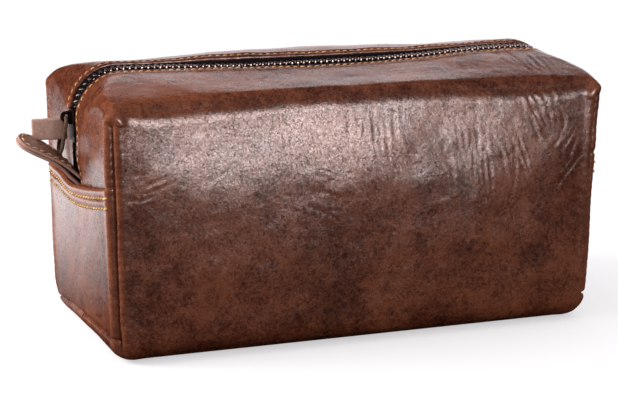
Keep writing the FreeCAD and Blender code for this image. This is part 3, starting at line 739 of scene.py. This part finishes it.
def stitched(name, places, along, out, material, length=3.0, radius=0.36, lean=8.0, seed=1):
    """Stitches at places, each leaning a little off the row, as sewn thread does."""
    random = np.random.default_rng(seed)
    along, out = unit(along), unit(out)
    angle = np.radians(lean + random.normal(0, 2.5, len(places)))[:, None]
    turned = along * np.cos(angle) + np.cross(out, along) * np.sin(angle)
    points, quads = copies(*stitch_shape(length, radius), places, turned, np.cross(out, turned), out)
    return new_object(name, points, quads, material), points


def along_curve(points, normals, pitch):
    """Evenly spaced places, tangents and normals along a polyline."""
    distance = run_length(points)
    s = np.arange(pitch / 2, distance[-1], pitch)
    return [interpolated(s, distance, rows) for rows in (points, np.gradient(points, axis=0), normals)]


def surface_curve(sharp, detail_of, lift):
    """A curve on a detailed surface, raised by lift, with its outward normals."""
    nudge = 1e-3
    points = hull(sharp)
    u, v, h = sharp.T
    on_end = np.abs(u) > 1 - 1e-9
    step_a = columns(np.where(on_end, 0, nudge), np.where(on_end, nudge, 0), np.zeros_like(h))
    step_b = columns(np.zeros_like(u), np.where(on_end, 0, nudge), np.where(on_end, nudge, 0))
    normals = unit(np.cross(hull(sharp + step_a) - points, hull(sharp + step_b) - points))
    normals *= np.sign(((points - CENTRE) * normals).sum(1))[:, None]
    return points + normals * (detail_of(sharp, points) + lift)[:, None], normals


def zip_stitching(side, material):
    """The row beside the zip, over the top and down both wings."""
    us, hs = over_the_top(80.0, 0.8)
    sharp = grid(us, side * (MOUTH_Y + ZIP_ROW) / FACE_Y, hs)
    curve, normals = surface_curve(sharp, body_detail, 0.32)
    places, along, out = along_curve(curve, normals, 3.9)
    name = SIDE_NAME[side]
    obj, points = stitched(f"{name}_zip_thread", places, along, out, material, 2.6, 0.32, seed=31 + side)
    bend_with_lip(obj)
    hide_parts(f"{name}_zip_stitching", "end_zip_stitching")


def hem_stitching(end, material):
    parts = []
    for row in HEM_ROWS:
        v = np.linspace(-62, 62, 160) / FACE_Y
        sharp = grid(end, v, level(hem_height, v, row))
        curve, normals = surface_curve(sharp, end_panel_detail, 0.34)
        parts.append(along_curve(curve, normals, 4.3))
    places, along, out = (np.concatenate(values) for values in zip(*parts))
    name = END_NAME[end]
    obj, _ = stitched(f"{name}_hem_thread", places, along, out, material, 2.5, 0.5, 17.0, seed=41 + end)
    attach(obj, "root")
    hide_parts(f"{name}_hem_stitching")


def seam_stitching(material):
    """Threads that cross the upright corner seams, deep between the two rolled edges."""
    places, out = [], []
    below_hem, above_hem = np.arange(15, 64, SEAM_PITCH), np.arange(101, 119, SEAM_PITCH)
    for height in np.concatenate([below_hem, above_hem]):
        for end in (LEFT, RIGHT):
            for side in (FRONT, BACK):
                normal = np.array([end, side, 0.0]) / math.sqrt(2)
                places.append(hull(np.array([[end, side, height / EAVE]]))[0] - normal * 2.2)
                out.append(normal)
    along = np.cross([0, 0, 1.0], out)
    obj, _ = stitched(
        "corner_seam_thread", np.array(places), along, np.array(out), material, 3.0, 0.3, 4.0, seed=51
    )
    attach(obj, "root")
    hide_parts("corner_seam_stitching")


# ---- tabs and pull strap ----

TAB_ROOT = np.array([130.6, 0.0, 84.3])
TAB_LENGTH, TAB_HALF_WIDTH, TAB_LAYER = 33.5, 6.6, 1.45
TAB_TIP = 7.5  # length of the rounded tip
TAB_STRAIGHT = TAB_LENGTH - TAB_TIP
STRAP_THICK = 1.35


def tab_slope(t):
    """The tab's slope in radians: it leaves the hem steeply and flattens towards its tip."""
    return np.radians(43 - 16 * smooth(t, -2, 30))


def tab_frame(end, t, w, lift):
    """Places on a tab and its normals: t along it, w across it and lift off its middle, in millimetres."""
    fine = np.linspace(-8, TAB_LENGTH, 200)
    step = fine[1] - fine[0]
    far_x, far_z = np.cumsum(np.cos(tab_slope(fine))) * step, np.cumsum(np.sin(tab_slope(fine))) * step
    x = np.interp(t, fine, far_x) - np.interp(0, fine, far_x)
    z = np.interp(t, fine, far_z) - np.interp(0, fine, far_z)
    bend, twist = tab_slope(t), np.radians(9 + 13 * smooth(t, 4, 22))
    side = columns(-np.sin(bend) * np.sin(twist), np.cos(twist), np.cos(bend) * np.sin(twist))
    normal = columns(-np.sin(bend) * np.cos(twist), -np.sin(twist), np.cos(bend) * np.cos(twist))
    place = columns(x, np.zeros_like(x), z) + side * w[:, None] + normal * lift[:, None]
    outward = np.array([end, 1, 1])
    return (place + TAB_ROOT) * outward, normal * outward


def tab_half_width(t):
    tip = np.clip((t - TAB_STRAIGHT) / TAB_TIP, 0, 1)
    return TAB_HALF_WIDTH * (1 - 0.1 * smooth(t, 18, 0)) * np.sqrt(np.maximum(0.002, 1 - tip**2))


def tab_waves(t, w, seed):
    return 0.25 * layered_noise(columns(t, w, t * 0), 9, seed)


def tab_layer(end, upper, material):
    """One leather layer of a tab, its cut edges rounded, running in behind the hem."""
    round_tip = TAB_STRAIGHT + TAB_TIP * np.sin(np.linspace(0, math.pi / 2, 12))
    ts = np.concatenate([np.linspace(-7, TAB_STRAIGHT - 0.5, 36), round_tip])
    ws = np.linspace(-1, 1, 15)
    t, w = (values.ravel() for values in np.meshgrid(ts, ws, indexing="ij"))
    offset = (0.5 if upper else -0.5) * (TAB_LAYER + 0.08)
    spread = 0.0 if upper else -1.6 * smooth(t, 16, -2)
    lift = offset + spread + tab_waves(t, w * 6, 61 + upper)
    across = w * tab_half_width(t)
    outer, normal = tab_frame(end, t, across, lift + TAB_LAYER / 2)
    inner, _ = tab_frame(end, t, across, lift - TAB_LAYER / 2)
    quads = grid_quads(len(ts), len(ws))
    if (quad_directions(outer, quads) * normal[quads[:, 0]]).sum() < 0:
        quads = quads[:, ::-1]
    name, scuff_and_highlight = f"{END_NAME[end]}_tab_{'top' if upper else 'under'}", smooth(np.abs(w), 0.8, 1.0)
    obj, _ = thick_piece(name, outer, inner, quads, material, "tab_leather", scuff_and_highlight, rim_bulge=0.7)
    bend_with_tab(obj)
    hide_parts(f"{name}_layer")


def bend_with_tab(obj):
    """Bakes the tab piece's placement into its mesh."""
    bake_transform(obj)


def tab_stitching(end, material):
    """One row round a tab, inside its edge."""
    inset = 1.5
    half = TAB_HALF_WIDTH - inset
    straight = np.linspace(3, TAB_STRAIGHT, 60)
    turn = np.linspace(-math.pi / 2, math.pi / 2, 30)[1:-1]
    tip = TAB_STRAIGHT + (TAB_TIP - inset) * np.cos(turn)
    t = np.concatenate([straight, tip, straight[::-1]])
    w = np.concatenate([np.full(60, -half), half * np.sin(turn), np.full(60, half)])
    curve, normals = tab_frame(end, t, w, TAB_LAYER + 0.42 + tab_waves(t, w, 62))
    places, along, out = along_curve(curve, normals, 4.0)
    name = END_NAME[end]
    obj, _ = stitched(f"{name}_tab_thread", places, along, out, material, length=2.9, seed=71 + end)
    bend_with_tab(obj)
    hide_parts(f"{name}_tab_stitching")


def strap_line(tip, fold, open_half, shut_half):
    """The strap's middle line seen from above: along one half, round the ring's side and back."""
    turn_x = fold - open_half
    half = [(tip, shut_half), (tip + 5.5, shut_half + 0.1), (tip + 9.5, open_half), (turn_x - 1.5, open_half)]
    turn = np.linspace(math.pi / 2, -math.pi / 2, 14)
    path = half + [(turn_x + open_half * math.cos(a), open_half * math.sin(a)) for a in turn]
    path = np.array(path + [(x, -y) for x, y in reversed(half)])
    distance = run_length(path)
    line = interpolated(np.linspace(0, distance[-1], 90), distance, path)
    for _ in range(4):
        line[1:-1] = (line[:-2] + 2 * line[1:-1] + line[2:]) / 4
    line[:, 1] += 0.22 * np.maximum(0, tip + 5 - line[:, 0])
    return line


def pull_strap(material):
    """A leather strip folded round the side of the ring, its two ends pressed together."""
    low, high = cad_box_mm("pull_strap")
    half = STRAP_THICK / 2
    open_half = (high[1] - low[1]) / 2 - half - 0.1
    line = strap_line(low[0], high[0] - 0.2 - half, open_half, half + 0.05)
    tangent = unit(np.gradient(line, axis=0))
    out = columns(-tangent[:, 1], tangent[:, 0])
    out *= np.sign(out[len(out) // 2, 0])
    line[:, 1] += (low[1] + high[1]) / 2
    zs = np.linspace(low[2] - 0.4, high[2] + 1.6, 9)
    faces_of_leather = []
    for shift in (half, -half):
        flat = np.repeat((line + out * shift)[:, None, :], len(zs), axis=1)
        tall = np.broadcast_to(zs[None, :, None], flat.shape[:2] + (1,))
        faces_of_leather.append(np.concatenate([flat, tall], axis=2).reshape(-1, 3))
    outer, inner = faces_of_leather
    quads = grid_quads(len(line), len(zs))
    if (quad_directions(outer, quads) * (outer - inner)[quads[:, 0]]).sum() < 0:
        quads = quads[:, ::-1]
    obj, _ = thick_piece("pull_strap_leather", outer, inner, quads, material, "strap_leather", rim_bulge=0.7)
    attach(obj, "strap")
    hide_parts("pull_strap")


# ---- materials ----

class Nodes:
    """The node tree of a material or world, with short calls to add and join nodes."""

    def __init__(self, owner):
        owner.use_nodes = True
        self.owner = owner
        self.tree = owner.node_tree
        self.shader = self.tree.nodes.get("Principled BSDF") or self.tree.nodes["Background"]

    def add(self, kind, inputs=None, **settings):
        node = self.tree.nodes.new(kind)
        for key, value in settings.items():
            setattr(node, key, value)
        for key, value in (inputs or {}).items():
            self.put(node.inputs[key], value)
        return node

    def put(self, socket, value):
        if isinstance(value, bpy.types.NodeSocket):
            self.tree.links.new(value, socket)
        else:
            socket.default_value = value

    def set(self, **inputs):
        for key, value in inputs.items():
            self.put(self.shader.inputs[key.replace("_", " ")], value)

    def maths(self, operation, a, b=0.0, clamp=False):
        return self.add("ShaderNodeMath", {0: a, 1: b}, operation=operation, use_clamp=clamp).outputs[0]

    def times(self, a, b, clamp=False):
        return self.maths("MULTIPLY", a, b, clamp)

    def plus(self, a, b, clamp=False):
        return self.maths("ADD", a, b, clamp)

    def minus(self, a, b, clamp=False):
        return self.maths("SUBTRACT", a, b, clamp)

    def past(self, value, start, gain):
        """0 up to start, then rising to 1."""
        return self.times(self.minus(value, start), gain, True)

    def scaled(self, vector, scale):
        return self.add("ShaderNodeVectorMath", {0: vector, "Scale": scale}, operation="SCALE").outputs[0]

    def axes(self, vector):
        return self.add("ShaderNodeSeparateXYZ", {0: vector}).outputs

    def cells(self, coordinates, scale, feature="F1"):
        inputs = {"Vector": coordinates, "Scale": scale}
        return self.add("ShaderNodeTexVoronoi", inputs, feature=feature).outputs["Distance"]

    def ramp(self, value, stops):
        node = self.add("ShaderNodeValToRGB", {"Fac": value})
        elements = node.color_ramp.elements
        while len(elements) < len(stops):
            elements.new(0.5)
        for element, (position, colour) in zip(elements, stops):
            element.position = position
            element.color = (*colour, 1.0)
        return node.outputs["Color"]

    def mix(self, factor, a, b):
        """A colour between a and b, each a socket or red, green and blue."""
        node = self.add("ShaderNodeMix", {"Factor": factor}, data_type="RGBA")
        for key, colour in (("A", a), ("B", b)):
            self.put(node.inputs[key], (*colour, 1.0) if isinstance(colour, tuple) else colour)
        return node.outputs["Result"]

    def noise(self, coordinates, scale, detail=3.0, roughness=0.55, distortion=0.0):
        inputs = {"Vector": coordinates, "Scale": scale, "Detail": detail, "Roughness": roughness}
        node = self.add("ShaderNodeTexNoise", {**inputs, "Distortion": distortion})
        return node.outputs["Fac"]

    def rest(self):
        return self.add("ShaderNodeAttribute", attribute_name="rest").outputs["Vector"]

    def value(self, name):
        return self.add("ShaderNodeAttribute", attribute_name=name).outputs["Fac"]

    def bump(self, height, strength, distance, normal=None):
        node = self.add("ShaderNodeBump", {"Height": height, "Strength": strength, "Distance": distance})
        if normal is not None:
            self.put(node.inputs["Normal"], normal)
        return node.outputs["Normal"]


def crease_lines(n, place, bent):
    """Webs of fine creases, 0 to 1: cell borders in some areas and folds everywhere."""
    borders = n.minus(1.0, n.times(n.cells(bent, 0.23, "DISTANCE_TO_EDGE"), 9.0, True), True)
    ridge = n.maths("ABSOLUTE", n.minus(n.noise(bent, 0.20, 4.0, 0.62), 0.5))
    folds = n.minus(1.0, n.times(ridge, 15.0, True), True)
    where = n.past(n.noise(place, 0.026, 2.0), 0.44, 4.0)
    webs = n.times(n.maths("POWER", borders, 2.0), where)
    return n.plus(n.times(webs, 0.7), n.times(folds, 0.5))


def leather_tone(n, place, patch, fleck, speck, shades):
    """Mottled colour, from large clouds down to specks."""
    cloud = n.noise(place, 0.020, 4.0, 0.6, 0.6)
    tone = n.plus(n.times(cloud, 0.62), n.times(patch, 0.46))
    tone = n.plus(tone, n.times(n.minus(fleck, 0.5), 0.34))
    tone = n.plus(tone, n.times(n.minus(speck, 0.5), 0.40))
    return n.ramp(tone, list(zip((0.41, 0.54, 0.65), shades)))


def leather_material(name, shades, rough=0.24, crease=1.0, grain=1.0):
    """Waxed pull-up leather: mottled, finely creased, lighter where it is bent or scuffed, and with a
    highlight painted along rolled edges and raised detail.
    """
    n = Nodes(bpy.data.materials.new(name))
    place = n.rest()
    patch = n.noise(place, 0.085, 4.0, 0.62, 0.4)
    fleck = n.noise(place, 0.55, 3.0, 0.6)
    speck = n.noise(place, 1.35, 2.0, 0.6)
    cloudy = n.add("ShaderNodeTexNoise", {"Vector": place, "Scale": 0.12, "Detail": 3.0}).outputs["Color"]
    wobble = n.scaled(cloudy, 9.0)
    bent = n.add("ShaderNodeVectorMath", {0: place, 1: wobble}, operation="ADD").outputs[0]
    lines, pebbles = crease_lines(n, place, bent), n.cells(place, 0.80)
    scuffed_and_highlight_colour = tuple(min(1.0, 1.5 * c + 0.02) for c in shades[2])
    colour = leather_tone(n, place, patch, fleck, speck, shades)
    # lighter along rolled edges and raised detail: partly scuffing, partly a painted highlight
    colour = n.mix(n.times(n.value("scuff_and_highlight"), n.plus(patch, 0.2), True), colour, scuffed_and_highlight_colour)
    colour = n.mix(n.times(lines, 0.55 * crease, True), colour, scuffed_and_highlight_colour)
    colour = n.mix(n.times(pebbles, 0.35 * grain, True), colour, shades[0])
    n.set(Base_Color=colour)
    n.set(Roughness=n.plus(n.plus(rough - 0.06, n.times(patch, 0.14)), n.times(fleck, 0.06)))
    wax = n.plus(n.times(speck, 1.8), n.times(fleck, 0.5))
    wax = n.plus(n.times(n.minus(wax, 1.15), grain), 0.56)
    wax = n.minus(wax, n.times(pebbles, 0.25 * grain), True)
    dull_foot = n.times(n.axes(place)["Z"], 0.06, True)
    n.set(Specular_IOR_Level=n.times(wax, dull_foot))
    normal = n.bump(n.noise(place, 0.22, 4.0, 0.6), 0.20, 0.0010)
    normal = n.bump(lines, -0.30 * crease, 0.0007, normal)
    normal = n.bump(n.cells(bent, 0.44), -0.14 * crease, 0.0010, normal)
    normal = n.bump(pebbles, -0.25 * grain, 0.0008, normal)
    normal = n.bump(n.noise(place, 1.5, 3.0, 0.7), 0.25 * grain, 0.0004, normal)
    n.set(Normal=normal)
    return n.owner


def cloth_material(name, dark, light, scale, shine=0.15):
    """A plain weave of two crossing threads."""
    n = Nodes(bpy.data.materials.new(name))
    place = n.rest()
    axes = n.axes(place)
    warp = n.maths("SINE", n.times(n.plus(axes["X"], axes["Z"]), scale))
    weft = n.maths("SINE", n.times(axes["Y"], scale))
    weave = n.plus(n.times(n.times(warp, weft), 0.5), 0.5)
    blend = n.plus(n.times(weave, 0.6), n.times(n.noise(place, 0.3, 3.0), 0.4))
    n.set(Base_Color=n.mix(blend, dark, light), Roughness=0.85)
    n.set(Specular_IOR_Level=shine, Normal=n.bump(weave, 0.5, 0.0003))
    return n.owner


def metal_material(name, dark, bright, rough, polish_and_glint_start, on_cad=False):
    """Antique finished metal, dark in the hollows and bright where handling has polished it; on the ring the
    bright edges and patches are partly painted glints.

    The CAD parts have no rest values, so on_cad takes their object coordinates."""
    n = Nodes(bpy.data.materials.new(name))
    if on_cad:
        place = n.scaled(n.add("ShaderNodeTexCoord").outputs["Object"], 1 / MM)
    else:
        place = n.rest()
    patch = n.noise(place, 0.5, 4.0, 0.65)
    edge = n.add("ShaderNodeNewGeometry").outputs["Pointiness"]
    # bright at sharp edges and in patches: polished metal, and on the ring partly painted glints
    blend = n.plus(n.past(edge, 0.50, 9.0), n.past(patch, polish_and_glint_start, 1.3), True)
    n.set(Base_Color=n.mix(blend, dark, bright))
    n.set(Metallic=blend if on_cad else 1.0, Specular_IOR_Level=0.12)
    n.set(Roughness=n.plus(rough, n.times(patch, 0.25)))
    n.set(Normal=n.bump(n.noise(place, 2.2, 3.0), 0.12, 0.0002))
    return n.owner


def thread_material(name, shades):
    """Waxed thread, twisted from plies."""
    n = Nodes(bpy.data.materials.new(name))
    place = n.rest()
    axes = n.axes(place)
    sum_xyz = n.plus(n.plus(axes["X"], axes["Y"]), axes["Z"])
    twist = n.plus(n.times(n.maths("SINE", n.times(sum_xyz, 9.0)), 0.5), 0.5)
    colour = n.ramp(n.noise(place, 0.4, 3.0), list(zip((0.3, 0.5, 0.7), shades)))
    n.set(Base_Color=colour, Roughness=0.6, Specular_IOR_Level=0.2, Normal=n.bump(twist, 0.5, 0.0002))
    return n.owner


# ---- stage ----

def looking(name, data, eye, target):
    """A camera or lamp at eye, turned towards target."""
    obj = bpy.data.objects.new(name, data)
    bpy.context.scene.collection.objects.link(obj)
    obj.location = Vector(eye) * MM
    direction = (Vector(target) - Vector(eye)).normalized()
    obj.rotation_euler = direction.to_track_quat("-Z", "Y").to_euler()
    return obj


def camera():
    """A long lens in front of the bag's left end, a little above it."""
    data = bpy.data.cameras.new("camera")
    data.lens, data.sensor_width = 108.57, 36.0
    data.clip_start, data.clip_end = 0.05, 20.0
    eye, target = (-340.06, -899.54, 269.67), (-4.685, 0.0, 55.487)
    bpy.context.scene.camera = looking("camera", data, eye, target)


def softbox(name, eye, target, size, power, colour, reflects=True):
    """A panel light. One that reflects is seen only in reflections; the others light only matt surfaces."""
    data = bpy.data.lights.new(name, "AREA")
    data.shape = "RECTANGLE"
    data.size, data.size_y = size[0] * MM, size[1] * MM
    data.energy, data.color = power, colour
    obj = looking(name, data, eye, target)
    obj.visible_glossy = reflects
    obj.visible_diffuse = not reflects


def seen_by(n, camera_colour, glossy_colour, diffuse_colour):
    """A colour that differs between the camera, reflections and diffuse light, as studio flags arrange."""
    path = n.add("ShaderNodeLightPath").outputs
    other = n.mix(path["Is Glossy Ray"], diffuse_colour, glossy_colour)
    return n.mix(path["Is Camera Ray"], other, camera_colour)


def floor():
    """A pale floor. To reflections it is a dark card in front of the bag and a bright one behind its left."""
    n = Nodes(bpy.data.materials.new("floor_paint"))
    n.set(Base_Color=seen_by(n, (0.52, 0.52, 0.52), (0.02, 0.02, 0.02), (0.24, 0.22, 0.21)))
    n.set(Roughness=0.9, Specular_IOR_Level=0.0)
    place = n.axes(n.add("ShaderNodeNewGeometry").outputs["Position"])
    left = n.times(n.minus(-0.06, place["X"]), 9.0, True)
    behind = n.past(place["Y"], 0.02, 3.2)
    near = n.times(n.minus(0.75, place["Y"]), 2.2, True)
    card = n.times(n.times(left, behind), near)
    path = n.add("ShaderNodeLightPath").outputs
    bright = n.times(n.times(card, path["Is Glossy Ray"]), 2.9)
    lift = n.times(path["Is Camera Ray"], 0.55)
    n.set(Emission_Color=(1.0, 0.97, 1.0, 1.0), Emission_Strength=n.plus(bright, lift))
    bpy.ops.mesh.primitive_plane_add(size=12.0, location=(0, 0, -0.0002))
    obj = bpy.context.object
    obj.name = "floor"
    obj.data.materials.append(n.owner)


def world():
    bpy.context.scene.world = bpy.data.worlds.new("studio")
    n = Nodes(bpy.context.scene.world)
    n.set(Color=seen_by(n, (1.0, 1.0, 1.0), (0.015, 0.015, 0.015), (0.88, 0.88, 0.88)), Strength=1.0)


def lights():
    """Even light comes from the world; two panels are seen in the leather and one lights the left end."""
    softbox("front_highlight", (145, -690, 310), (0, -60, 95), (330, 320), 8.0, (1.0, 0.85, 0.83))
    softbox("top_sheen", (520, 1150, 330), (0, 0, 120), (1050, 640), 3.5, (1.0, 0.89, 0.92))
    softbox("left_end_light", (-700, 120, 380), (-120, 0, 70), (500, 300), 6.0, (1.0, 0.97, 0.93), False)


# ---- build ----

# Colours from dark to light
HIDE = ((0.047, 0.0105, 0.0055), (0.110, 0.0255, 0.0113), (0.215, 0.060, 0.0245))
TAB_HIDE = ((0.15, 0.065, 0.048), (0.27, 0.135, 0.105), (0.38, 0.22, 0.18))
STRAP_HIDE = ((0.38, 0.21, 0.165), (0.47, 0.275, 0.22), (0.55, 0.34, 0.28))
TAN_THREAD = ((0.42, 0.21, 0.085), (0.70, 0.43, 0.20), (0.88, 0.64, 0.36))
# near-black seam thread: dark brown, made darker still as painted shade of the stitch holes in the groove
SEAM_THREAD_AND_SHADE = ((0.02, 0.01, 0.006), (0.06, 0.03, 0.016), (0.14, 0.07, 0.035))
LINING_CLOTH = ((0.06, 0.045, 0.035), (0.10, 0.08, 0.065))
TAPE_CLOTH = ((0.003, 0.003, 0.0035), (0.012, 0.011, 0.013))
TEETH_METAL = ((0.04, 0.026, 0.022), (0.95, 0.78, 0.74))
SLIDER_METAL = ((0.004, 0.003, 0.003), (0.045, 0.028, 0.02))
# the ring's bright colour is partly polished brass, partly painted glints
RING_METAL_AND_GLINTS = ((0.006, 0.004, 0.004), (0.60, 0.40, 0.28))


def soft_pieces():
    hide = leather_material("pull_up_leather", HIDE)
    tab_hide = leather_material("tab_leather", TAB_HIDE, rough=0.36, crease=0.5, grain=0.4)
    lining = cloth_material("lining_cloth", *LINING_CLOTH, scale=5.0)
    tape = cloth_material("zip_tape", *TAPE_CLOTH, scale=7.0, shine=0.0)
    teeth = metal_material("antique_teeth", *TEETH_METAL, rough=0.20, polish_and_glint_start=0.28)
    thread = thread_material("tan_thread", TAN_THREAD)
    for side in (FRONT, BACK):
        body_leather(side, hide)
        body_lining(side, lining)
        zip_tape(side, tape)
        zip_teeth(side, teeth)
        zip_stitching(side, thread)
    for end in (LEFT, RIGHT):
        end_panel(end, hide)
        hem_stitching(end, thread)
        for upper in (True, False):
            tab_layer(end, upper, tab_hide)
        tab_stitching(end, thread)
    # the seam thread's dark colour is partly painted shade of its stitch holes
    seam_stitching(thread_material("seam_thread_and_shade", SEAM_THREAD_AND_SHADE))
    pull_strap(leather_material("strap_leather", STRAP_HIDE, rough=0.45, crease=0.2, grain=0.2))


def cad_metal():
    """The slider, ring and stops keep their CAD shapes and get a better finish."""
    slider = metal_material("antique_slider", *SLIDER_METAL, rough=0.32, polish_and_glint_start=0.62, on_cad=True)
    # on the ring the bright patches partly stand in as painted glints
    ring = metal_material("antique_ring_and_glints", *RING_METAL_AND_GLINTS, rough=0.25, polish_and_glint_start=0.47, on_cad=True)
    for node in ("zip_slider", "pull_ring", "zip_top_stops", "zip_bottom_stop"):
        mesh = frame["nodes"][node].data
        mesh.materials.clear()
        mesh.materials.append(ring if node == "pull_ring" else slider)


bpy.context.scene.view_settings.view_transform = "Standard"
soft_pieces()
cad_metal()
floor()
world()
lights()
camera()
